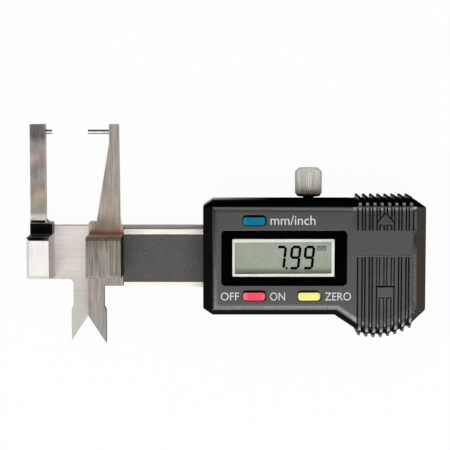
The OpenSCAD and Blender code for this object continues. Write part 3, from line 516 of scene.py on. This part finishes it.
# The right rim of the face is painted lighter as a highlight, and darker on the plain band.
painted_right_highlight = ranged(
    tree, graded(tree, along(tree, "X", *RIGHT_RIM), (0.1, 0.0), (0.35, 1.0), (0.85, 1.0), (1.0, 0.3)), 1.0, 2.6, 0, 1)
band_rim = ranged(tree, graded(tree, along(tree, "X", *RIGHT_RIM), (0.1, 0.0), (0.7, 1.0)), 1.0, 0.6, 0, 1)
on_band = graded(tree, along(tree, "Y", 1.0, 7.6), (0.0, 0.0), (0.5, 1.0), (0.75, 1.0), (1.0, 0.0))
at_foot = graded(tree, along(tree, "Y", -9.5, -8), (0.0, 1.0), (1.0, 0.0))
painted_rim_light = blended(tree, at_foot, blended(tree, on_band, painted_right_highlight, band_rim), UNCHANGED)
# At the foot of the lower ribs, their ends are painted lighter as a highlight, with a painted dark line outside it and
# light again at the tips.
painted_rib_end_light = ranged(
    tree, graded(tree, from_centre(tree, 10.0, 13.5), (0.11, 0.333), (0.37, 0.6), (0.6, 0.55), (0.66, 0.1),
                 (0.72, 0.03), (0.8, 0.015), (0.85, 0.3), (0.914, 0.8)), 0, 3, 0, 1)
painted_foot_light = blended(tree, in_grip, UNCHANGED, blended(tree, at_foot, UNCHANGED, painted_rib_end_light))
for tone in (painted_low_highlight, painted_upper_edge_light, painted_light_falloff, rib_tone, shoulder_foot, painted_rim_light, painted_foot_light):
    colour = scaled(tree, colour, tone)
# The painted highlight on faces towards the wide lamp is tinted a little cooler.
painted_highlight_tint = graded(tree, ranged(tree, facing(tree, "Y"), 0, 1, *LOW_TILT), (0.0, (0.93, 0.99, 1.0)), (1.0, 1.0))
colour = shaded(tree, colour, painted_highlight_tint)
tree.links.new(colour, shader.inputs["Base Color"])
wall_plastic, tree, shader, colour = moulded(
    "wall plastic", (0.8, 0.8, 0.8), (1.0, 1.0, 1.0), (0.35, 0.45), grain=2000, depth=0.002, shine=0.01, cloud=0.2)
# The walls are painted by the way they face, as light and shade: near-black to the left and in front, brownish where
# they face right.
painted_light_by_side = graded(tree, ranged(tree, facing(tree, "X"), 0, 1, -1, 1), (0.2, (0.006, 0.006, 0.0065)),
                (0.4, (0.004, 0.004, 0.006)), (0.6, (0.004, 0.004, 0.006)), (0.8, (0.062, 0.05, 0.041)))
outside = graded(tree, from_centre(tree, TIP_RADIUS - 0.1, TIP_RADIUS + 0.15), (0.0, 0.0), (1.0, 1.0))
beside = graded(tree, along(tree, "X", GRIP_LEFT, 82), (0.0, 0.0), (0.06, 1.0), (0.84, 1.0), (0.88, 0.0))
low_end = graded(tree, along(tree, "Y", -11, -9), (0.0, 1.0), (1.0, 0.0))
# The tips of the lower ribs are painted grey as a highlight, lighter towards the face.
painted_tip_light = graded(tree, along(tree, "Z", 12, 15), (0.0, 0.08), (0.2, 0.1), (0.9, 0.2))
tips = shaded(tree, shaded(tree, outside, beside), low_end)
tree.links.new(blended(tree, tips, shaded(tree, colour, painted_light_by_side), painted_tip_light), shader.inputs["Base Color"])
back_plastic, tree, shader, colour = moulded(
    "back wall plastic", (0.8, 0.8, 0.8), (1.0, 1.0, 1.0), (0.4, 0.5), grain=2000, depth=0.002, shine=0.0)
# A painted sheen: low down at the back wall's left end, the plastic is made partly metallic and less black, as a
# painted reflection.
painted_sheen = shaded(tree, graded(tree, along(tree, "X", 33, 49), (0.0, 0.31), (0.15, 0.27), (0.5, 0.09), (0.95, 0.0)),
                graded(tree, along(tree, "Z", 3, 13), (0.0, 1.0), (0.3, 0.6), (0.65, 0.2), (0.95, 0.0)))
tree.links.new(painted_sheen, shader.inputs["Metallic"])
tree.links.new(shaded(tree, colour, graded(tree, painted_sheen, (0.0, 0.0015), (0.3, 1.0))), shader.inputs["Base Color"])
side_plastic = moulded(
    "side wall plastic", (0.008, 0.008, 0.008), (0.02, 0.0195, 0.019), (0.38, 0.48), grain=3000, depth=0.004,
    shine=0.4)[0]

HOUSING_PLASTICS = (face_plastic, wall_plastic, back_plastic, side_plastic)
FACE, WALL, BACK, SIDE = range(4)
LEVEL = 0.8
UPRIGHT = 0.3
WALL_TOP = 13
BACK_WALL = 12
RIBS_RIGHT = 80.5
LOWER_RIBS = -9
GROOVE_FLOOR = 14.55
LAST_GROOVE = (79.145, 79.445)
GROOVE_ENDS = (-10.4, 11.0)
GROOVE_RISES = (0.42, 0.364)
GROOVE_WELD = 0.012
NEAR = 0.01
TONGUE = 0.55
SEAM_LINE = 1.57
SEAM_FOOT = 13.8
SEAM_START = 1
SEAM_FILL = 0.055
CORNER_REACH = 0.07
EDGE_REACH = 0.15
STEP_REACH = (0.09, 0.13)
HOUSING_STEPS = (
    (14.9, 14.94, (-0.08, 0, 0)),
    (14.95, 14.972, (-0.032, -0.046, 0.009)),
    (14.99, 15.1, (0, -0.16, 0)),
)
COVER_STEPS = (
    (14.9, 14.94, (-0.08, 0, 0)),
    (14.95, 14.972, (-0.032, 0, 0.009)),
)
cover_low, cover_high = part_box("battery_cover")
seams = (cover_low.x / MM + TONGUE, cover_high.x / MM - TONGUE)


def beside_seam(first, last):
    """Whether an edge runs along a seam between housing and cover, where it stays sharp."""
    high = min(first.z, last.z) > SEAM_FOOT and min(first.y, last.y) > SEAM_START
    return high and any(max(abs(first.x - x), abs(last.x - x)) < EDGE_REACH for x in seams)


def toned(piece):
    """Gives each face of a moulding the plastic for its place."""
    piece.data.materials.clear()
    for plastic in HOUSING_PLASTICS:
        piece.data.materials.append(plastic)
    for face in piece.data.polygons:
        middle = face.center / MM
        level = face.normal.z > LEVEL
        upright = abs(face.normal.z) < UPRIGHT
        ribbed = GRIP_LEFT < middle.x < RIBS_RIGHT and middle.y < LOWER_RIBS
        in_groove = face.normal.z > 0.99 and middle.z < GROOVE_FLOOR + 3 * NEAR
        if level and middle.z < WALL_TOP and middle.y > BACK_WALL:
            face.material_index = BACK
        elif level and not in_groove:
            face.material_index = FACE
        # Faces turned away from the wide lamp take the near-black back wall plastic, as painted shade.
        elif face.normal.y > UPRIGHT:
            face.material_index = BACK
        elif upright and middle.z < WALL_TOP and not ribbed:
            face.material_index = SIDE
        else:
            face.material_index = WALL


def shifted(piece, chosen, move):
    """Moves the corners that chosen() picks by their place in mm."""
    only(piece)
    bpy.ops.object.mode_set(mode="EDIT")
    bpy.ops.mesh.select_mode(type="VERT")
    bpy.ops.mesh.select_all(action="DESELECT")
    bpy.ops.object.mode_set(mode="OBJECT")
    for corner in piece.data.vertices:
        corner.select = chosen(corner.co / MM)
    bpy.ops.object.mode_set(mode="EDIT")
    bpy.ops.transform.translate(value=[step * MM for step in move])
    bpy.ops.object.mode_set(mode="OBJECT")


def filled(piece):
    """Lifts the floor of the last groove at the right to the face, between the groove's ends."""
    for cut in GROOVE_ENDS:
        only(piece)
        bpy.ops.object.mode_set(mode="EDIT")
        bpy.ops.mesh.select_mode(type="FACE")
        bpy.ops.mesh.select_all(action="DESELECT")
        bpy.ops.object.mode_set(mode="OBJECT")
        for face in piece.data.polygons:
            middle = face.center / MM
            inside = LAST_GROOVE[0] - 2 * NEAR < middle.x < LAST_GROOVE[1] + 2 * NEAR
            face.select = inside and middle.z > GROOVE_FLOOR - 2 * NEAR
        bpy.ops.object.mode_set(mode="EDIT")
        bpy.ops.mesh.bisect(plane_co=(0, cut * MM, 0), plane_no=(0, 1, 0))
        bpy.ops.object.mode_set(mode="OBJECT")
    for x, rise in zip(LAST_GROOVE, GROOVE_RISES):
        def on_floor(at):
            within = GROOVE_ENDS[0] - NEAR < at.y < GROOVE_ENDS[1] + NEAR
            return within and abs(at.x - x) < NEAR and abs(at.z - GROOVE_FLOOR) < NEAR

        shifted(piece, on_floor, (0, 0, rise))
    bpy.ops.object.mode_set(mode="EDIT")
    bpy.ops.mesh.select_all(action="SELECT")
    bpy.ops.mesh.remove_doubles(threshold=GROOVE_WELD * MM)
    bpy.ops.object.mode_set(mode="OBJECT")


def squared(piece, steps):
    """Straightens the step in the left seam. Each step is a range of height and its move."""
    for low, high, move in steps:
        def on_step(at):
            beside = abs(at.x - seams[0]) < STEP_REACH[0] and abs(at.y - SEAM_LINE) < STEP_REACH[1]
            return beside and low < at.z < high

        shifted(piece, on_step, move)


def parted(piece):
    """Keeps the light on the two sides of a seam apart."""
    for edge in piece.data.edges:
        ends = [piece.data.vertices[number].co / MM for number in edge.vertices]
        if any(all(abs(at.x - x) < CORNER_REACH and at.z > SEAM_FOOT for at in ends) for x in seams):
            edge.use_edge_sharp = True
    levelled(piece)


housing = eased("housing_shell", "moulded_housing", width=0.08, clamp=False, keep=beside_seam, before=filled)
squared(housing, HOUSING_STEPS)
parted(housing)
toned(housing)
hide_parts("housing_shell")
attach(housing, "gauge_frame")
cover = eased("battery_cover", "moulded_battery_cover", width=0.08, clamp=False, keep=beside_seam, before=filled)
squared(cover, COVER_STEPS)
for side, x in zip((-1, 1), seams):
    shifted(cover, lambda at: abs(at.x - x) < 2 * NEAR and at.z > SEAM_FOOT, (side * SEAM_FILL, 0, 0))
parted(cover)
toned(cover)
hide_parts("battery_cover")
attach(cover, "bay_cover")

# The lettering beside the buttons: generic words in white ink, pad-printed on the face. The
# ink is a thin layer that stands 0.02 mm out of the plastic.
FACE_TOP = 15
INK_SINK = 0.005
PRINT_THICKNESS = 0.025
WORDS = (
    ("mm/inch", (48.21, 8.19), (57.98, 10.26)),
    ("OFF", (37.42, -8.33), (41.4, -6.57)),
    ("ON", (48.14, -8.33), (51.42, -6.57)),
    ("ZERO", (60.13, -8.33), (65.80, -6.57)),
)


def printed(words, low, high, z, thickness, weight=0.0):
    """Words as a flat layer that fills the box between two corners in mm, from z in metres."""
    bpy.ops.object.text_add()
    piece = bpy.context.object
    piece.data.body = words
    piece.data.extrude = 0.002
    piece.data.offset = weight
    piece.data.resolution_u = 5
    bpy.ops.object.convert(target="MESH")
    piece = bpy.context.object
    corners = [point.co for point in piece.data.vertices]
    first = Vector(min(c[axis] for c in corners) for axis in range(3))
    last = Vector(max(c[axis] for c in corners) for axis in range(3))
    size = last - first
    grow = Vector(((high[0] - low[0]) * MM / size.x, (high[1] - low[1]) * MM / size.y, thickness * MM / size.z))
    piece.data.transform(Matrix.Diagonal((*grow, 1)) @ Matrix.Translation(-first))
    piece.data.transform(Matrix.Translation((low[0] * MM, low[1] * MM, z)))
    only(piece)
    bpy.ops.object.mode_set(mode="EDIT")
    bpy.ops.mesh.select_all(action="SELECT")
    bpy.ops.mesh.remove_doubles(threshold=1e-7)
    bpy.ops.mesh.normals_make_consistent(inside=False)
    bpy.ops.object.mode_set(mode="OBJECT")
    return piece


def joined(pieces, name):
    """Makes one piece of several."""
    bpy.ops.object.select_all(action="DESELECT")
    for piece in pieces:
        piece.select_set(True)
    bpy.context.view_layer.objects.active = pieces[0]
    bpy.ops.object.join()
    pieces[0].name = name
    return pieces[0]


print_z = (FACE_TOP - INK_SINK) * MM
lettering = joined(
    [printed(words, low, high, print_z, PRINT_THICKNESS) for words, low, high in WORDS], "face_lettering")
white_ink = moulded(
    "white ink", (0.68, 0.68, 0.67), (0.78, 0.78, 0.77), (0.45, 0.55), grain=2200, depth=0.002)[0]
dress(lettering, white_ink)
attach(lettering, "gauge_frame")

# The window: a clear plastic pane set in the face, with a black border printed on its lower
# side. The white frame and the display lie under it, in the light that it lets through.
pane, tree, shader = surface("window pane")
shader.inputs["Base Color"].default_value = (0.97, 0.98, 0.97, 1)
shader.inputs["Transmission Weight"].default_value = 1
shader.inputs["Roughness"].default_value = 0.02
shader.inputs["IOR"].default_value = 1.4
open_way = tree.nodes.new("ShaderNodeBsdfTransparent")
rays = tree.nodes.new("ShaderNodeLightPath")
either = tree.nodes.new("ShaderNodeMixShader")
tree.links.new(rays.outputs["Is Shadow Ray"], either.inputs[0])
tree.links.new(shader.outputs[0], either.inputs[1])
tree.links.new(open_way.outputs[0], either.inputs[2])
tree.links.new(either.outputs[0], tree.nodes["Material Output"].inputs["Surface"])
dress(nodes["window_lens"], pane)

BORDER_ROOM = 0.2
INK_GAP = 0.01
INK_THICKNESS = 0.035
CUT_OUT = (5, 3)
opening_low = Vector((39.96, -3.23, 0)) * MM
opening_high = Vector((62.21, 5.02, 0)) * MM
lens_low, lens_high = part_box("window_lens")
bpy.ops.mesh.primitive_plane_add(size=1, location=(0, 0, 0))
border = bpy.context.object
border.name = "window_border"
border.scale = (lens_high.x - lens_low.x - BORDER_ROOM * MM, lens_high.y - lens_low.y - BORDER_ROOM * MM, 1)
border.location = ((lens_low.x + lens_high.x) / 2, (lens_low.y + lens_high.y) / 2, lens_low.z - INK_GAP * MM)
bpy.ops.object.transform_apply(location=True, rotation=True, scale=True)
bpy.ops.object.mode_set(mode="EDIT")
for axis in (0, 1):
    for at in (opening_low[axis], opening_high[axis]):
        bpy.ops.mesh.select_all(action="SELECT")
        bpy.ops.mesh.bisect(plane_co=[at if i == axis else 0 for i in range(3)],
                            plane_no=[1 if i == axis else 0 for i in range(3)])
bpy.ops.object.mode_set(mode="OBJECT")
middle = (opening_low + opening_high) / 2
for face in border.data.polygons:
    face.select = all(abs(face.center[axis] - middle[axis]) < CUT_OUT[axis] * MM for axis in (0, 1))
bpy.ops.object.mode_set(mode="EDIT")
bpy.ops.mesh.delete(type="FACE")
bpy.ops.object.mode_set(mode="OBJECT")
wall = border.modifiers.new("thickness", "SOLIDIFY")
wall.thickness = INK_THICKNESS * MM
finished(border, wall)
ink = moulded(
    "border ink", (0.0002, 0.0002, 0.0002), (0.0005, 0.0005, 0.0005), (0.6, 0.7), grain=2000, depth=0.001,
    shine=0.0)[0]
dress(border, ink)
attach(border, "gauge_frame")

# The display: liquid crystal glass in a white moulded frame, under the window. The glass
# darkens towards its lower rim, where the frame shades it.
frame_white = moulded(
    "frame white", (0.6, 0.615, 0.575), (0.645, 0.66, 0.62), (0.4, 0.5), grain=1500, depth=0.002)[0]
RIM_MIDDLE = Vector((51.25, 0.8))
OUTER_RIM = (11.0, 4.0)
INNER_RIM = (10.7, 3.7)
RIM_SHIFTS = ((0, -1, -0.19, -0.33), (0, 1, -0.14, -0.13), (1, -1, 0.07, 0.1), (1, 1, 0.12, 0.21))
rim = bpy.data.objects.new("white_frame", nodes["display_frame"].data.copy())
scene.collection.objects.link(rim)
for axis, side, *shifts in RIM_SHIFTS:
    for shift, inner in zip(shifts, (False, True)):
        def of_ring(at):
            away = at.xy - RIM_MIDDLE
            inside = abs(away.x) < INNER_RIM[0] and abs(away.y) < INNER_RIM[1]
            outside = abs(away.x) > OUTER_RIM[0] or abs(away.y) > OUTER_RIM[1]
            return away[axis] * side > 0 and (inside if inner else outside)

        shifted(rim, of_ring, [shift if i == axis else 0 for i in range(3)])
dress(rim, frame_white)
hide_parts("display_frame")
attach(rim, "gauge_frame")
display_grey, tree, shader, colour = moulded(
    "display glass", (0.265, 0.292, 0.235), (0.29, 0.316, 0.256), (0.3, 0.35), grain=900, depth=0.0005, shine=0.2)
glass_low, glass_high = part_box("display_panel")
rim_shade = graded(
    tree, along(tree, "Y", glass_low.y / MM, glass_high.y / MM), (0.08, (0.5, 0.46, 0.42)), (0.15, (0.5, 0.46, 0.41)),
    (0.2, (0.79, 0.76, 0.7)), (0.23, (0.9, 0.87, 0.83)), (0.26, (0.97, 0.96, 0.94)), (0.3, 1.0))
tree.links.new(shaded(tree, colour, rim_shade), shader.inputs["Base Color"])
dress(nodes["display_panel"], display_grey)

# The reading: seven-segment digits, a point and the sign of the unit in the liquid crystal. The
# digits lean a little, and each segment is a thin flat stroke with tapered ends.
STROKE_WIDTH = 0.6
STROKE_TIP = STROKE_WIDTH / 3 ** 0.5
STROKE_GAP = 0.08
STROKE_THICKNESS = 0.008
DIGIT_SLANT = 6
DIGIT_WIDTH = 1.76
DIGIT_HALF = 2.32
DIGIT_FOOT = -1.39
DIGITS = (("7", 49.36), ("9", 52.54), ("9", 55.52))
POINT_LENGTH = 0.5
POINT_PLACE = (51.8, -1.4)
UNIT_CORNERS = ((58.41, 2.44), (60.40, 3.50))
READING_GAP = 0.004
ink_z = glass_high.z + READING_GAP * MM
LIT = {"7": "top right_up right_low", "9": "top left_up right_up middle right_low bottom"}
SEGMENTS = {
    "top": (DIGIT_WIDTH / 2, 2 * DIGIT_HALF, 0),
    "middle": (DIGIT_WIDTH / 2, DIGIT_HALF, 0),
    "bottom": (DIGIT_WIDTH / 2, 0, 0),
    "left_up": (0, 1.5 * DIGIT_HALF, 90),
    "right_up": (DIGIT_WIDTH, 1.5 * DIGIT_HALF, 90),
    "right_low": (DIGIT_WIDTH, 0.5 * DIGIT_HALF, 90),
}


def bar(length):
    """A flat stroke of a length in mm along X, with its middle at the origin."""
    bpy.ops.mesh.primitive_circle_add(vertices=6, radius=STROKE_TIP * MM, fill_type="NGON",
                                      rotation=(0, 0, radians(90)))
    piece = bpy.context.object
    bpy.ops.object.transform_apply(location=True, rotation=True, scale=True)
    reach = (length - 2 * STROKE_TIP) / 2
    for side in (-1, 1):
        shifted(piece, lambda at: at.x * side > 1e-3, (side * reach, 0, 0))
    only(piece)
    bpy.ops.object.mode_set(mode="EDIT")
    bpy.ops.mesh.select_all(action="SELECT")
    bpy.ops.mesh.extrude_region_move(TRANSFORM_OT_translate={"value": (0, 0, STROKE_THICKNESS * MM)})
    bpy.ops.mesh.select_all(action="SELECT")
    bpy.ops.mesh.normals_make_consistent(inside=False)
    bpy.ops.object.mode_set(mode="OBJECT")
    return piece


lean = Matrix.Identity(4)
lean[0][1] = tan(radians(DIGIT_SLANT))
strokes = []
for digit, foot_x in DIGITS:
    for lit in LIT[digit].split():
        x, y, turn = SEGMENTS[lit]
        stroke = bar((DIGIT_HALF if turn else DIGIT_WIDTH) - STROKE_GAP)
        stroke.data.transform(Matrix.Translation((x * MM, y * MM, 0)) @ Matrix.Rotation(radians(turn), 4, "Z"))
        stroke.data.transform(Matrix.Translation((foot_x * MM, DIGIT_FOOT * MM, ink_z)) @ lean)
        strokes.append(stroke)
point = bar(POINT_LENGTH)
point.data.transform(Matrix.Translation((POINT_PLACE[0] * MM, POINT_PLACE[1] * MM, ink_z)))
strokes.append(point)
digits = joined(strokes, "display_digits")
crystal = moulded(
    "dark crystal", (0.001, 0.0015, 0.001), (0.003, 0.0035, 0.0025), (0.4, 0.5), grain=1500, depth=0.0005,
    shine=0.0)[0]
dress(digits, crystal)
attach(digits, "gauge_frame")
unit_sign = printed("mm", *UNIT_CORNERS, ink_z, thickness=0.01, weight=0.025)
unit_sign.name = "display_unit"
pale_crystal = moulded(
    "pale crystal", (0.025, 0.055, 0.045), (0.04, 0.08, 0.065), (0.4, 0.5), grain=1500, depth=0.0005, shine=0.2)[0]
dress(unit_sign, pale_crystal)
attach(unit_sign, "gauge_frame")

# The push buttons: three small caps with a crowned top, moulded in coloured plastic. Each
# stands in its own opening with a dark gap round it, and goes down onto its switch.
CAP_SHIFTS = ((1, 1, -0.38), (1, -1, 0.06), (0, 1, -0.2))
BUTTONS = {
    "unit_button": ("blue_button", "unit_key", (0.0, 0.17, 0.3), (0.0, 0.26, 0.42)),
    "power_button": ("red_button", "power_key", (0.97, 0.085, 0.15), (1.0, 0.24, 0.36)),
    "zero_button": ("yellow_button", "zero_key", (0.98, 0.92, 0.29), (1.0, 0.97, 0.42)),
}
for node, (slot, body, middle, end) in BUTTONS.items():
    cap = eased(node, "moulded_" + node, width=0.12)
    cap_low, cap_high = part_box(node)
    cap_middle = (cap_low + cap_high) / 2 / MM
    for axis, side, shift in CAP_SHIFTS:
        shifted(cap, lambda at: (at[axis] - cap_middle[axis]) * side > 0, [shift if i == axis else 0 for i in range(3)])
    cap_plastic, tree, shader, colour = moulded(
        slot + " plastic", (0.96, 0.96, 0.96), (1.0, 1.0, 1.0), (0.35, 0.45), grain=1200, depth=0.003,
        shine=0.12, cloud=0.0)
    cap_tone = graded(
        tree, along(tree, "X", cap_low.x / MM, cap_high.x / MM), (0.06, end), (0.28, middle), (0.72, middle),
        (0.94, end))
    # The caps' edges and their side away from the wide lamp are painted darker, as shade.
    painted_cap_edge_shade = graded(tree, facing(tree, "Z"), (0.2, 0.25), (0.75, 0.6), (0.97, 1.0))
    painted_cap_back_shade = graded(tree, facing(tree, "Y"), (0.15, 1.0), (0.4, 0.1))
    cap_colour = shaded(tree, shaded(tree, shaded(tree, colour, cap_tone), painted_cap_edge_shade), painted_cap_back_shade)
    tree.links.new(cap_colour, shader.inputs["Base Color"])
    dress(cap, cap_plastic)
    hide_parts(node)
    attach(cap, body)

# The lock screw: a turned steel knob with straight flutes, at the housing's upper side. Its
# screw goes in through the wall and presses a brass pad on the gib strip, to lock the slide.
knob_steel, tree, shader, colour = brushed(
    "knob steel", (0.74, 0.69, 0.62), (1.0, 0.99, 0.96), (3000, 60, 3000), (0.42, 0.52), cloud=0.2, side_shade=1.0)
low_shade = graded(
    tree, along(tree, "Y", 13, 21), (0.0, 0.02), (0.08, 0.02), (0.2, (0.72, 0.62, 0.53)), (0.34, 1.0), (0.75, 1.0),
    (0.85, (0.85, 0.86, 0.87)))
knob_low, knob_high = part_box("lock_screw")
knob_axis = (knob_low.z + knob_high.z) / 2 / MM
round_shade = graded(
    tree, along(tree, "Z", knob_axis, knob_high.z / MM), (0.0, (0.32, 0.3, 0.27)), (0.3, (0.62, 0.6, 0.57)),
    (0.6, 0.95), (0.8, 1.0))
# The flutes' sides are painted darker than their crests, as shade.
painted_flute_shade = graded(tree, facing(tree, "Z"), (0.5, 0.85), (0.9, 1.0))
colour = shaded(tree, shaded(tree, shaded(tree, colour, low_shade), round_shade), painted_flute_shade)
tree.links.new(colour, shader.inputs["Base Color"])
knob = eased("lock_screw", "turned_lock_screw", width=0.06)
dress(knob, knob_steel)
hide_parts("lock_screw")
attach(knob, "lock_knob")

# The small metal parts behind and inside: steel screws, rivets, rails, stop pin and cell, black
# set screws, and yellow metal for the gib strip, the pad, the cell's spring and its clip.
EVEN_GRAIN = (2500, 2500, 2500)
screw_steel = brushed(
    "screw steel", (0.55, 0.55, 0.55), (0.72, 0.72, 0.72), EVEN_GRAIN, (0.3, 0.4), cloud=0.2, side_shade=0.8)[0]
rail_steel = brushed("rail steel", (0.5, 0.48, 0.45), (0.62, 0.6, 0.57), (150, 4000, 4000), (0.35, 0.45))[0]
black_steel = brushed("black steel", (0.08, 0.08, 0.085), (0.14, 0.14, 0.15), EVEN_GRAIN, (0.35, 0.5))[0]
spring_brass = brushed(
    "spring brass", (0.6, 0.46, 0.22), (0.76, 0.6, 0.32), (3000, 300, 3000), (0.3, 0.4), cloud=0.2, side_shade=0.8)[0]
for node in ("jaw_screws", "rail_screws", "housing_screws", "jaw_rivets", "stop_pin", "button_cell"):
    dress(nodes[node], screw_steel)
dress(nodes["guide_rails"], rail_steel)
dress(nodes["gib_screws"], black_steel)
for node in ("gib_strip", "cell_spring", "cell_clip", "lock_pad"):
    dress(nodes[node], spring_brass)

# The electronics: a lacquered board, the scale's circuit, switches, rubber strips and resin.
# The board lies in the housing and reads the circuit, which is glued to the beam.
board_green = moulded(
    "board lacquer", (0.01, 0.08, 0.03), (0.02, 0.14, 0.05), (0.2, 0.35), grain=1500, depth=0.005)[0]
dark_plastic = moulded(
    "switch plastic", (0.012, 0.012, 0.014), (0.025, 0.025, 0.028), (0.35, 0.5), grain=2500, depth=0.005)[0]
for node in ("circuit_board", "scale_board"):
    dress(nodes[node], board_green)
for node in ("chip_cover", "key_switches", "contact_strips"):
    dress(nodes[node], dark_plastic)
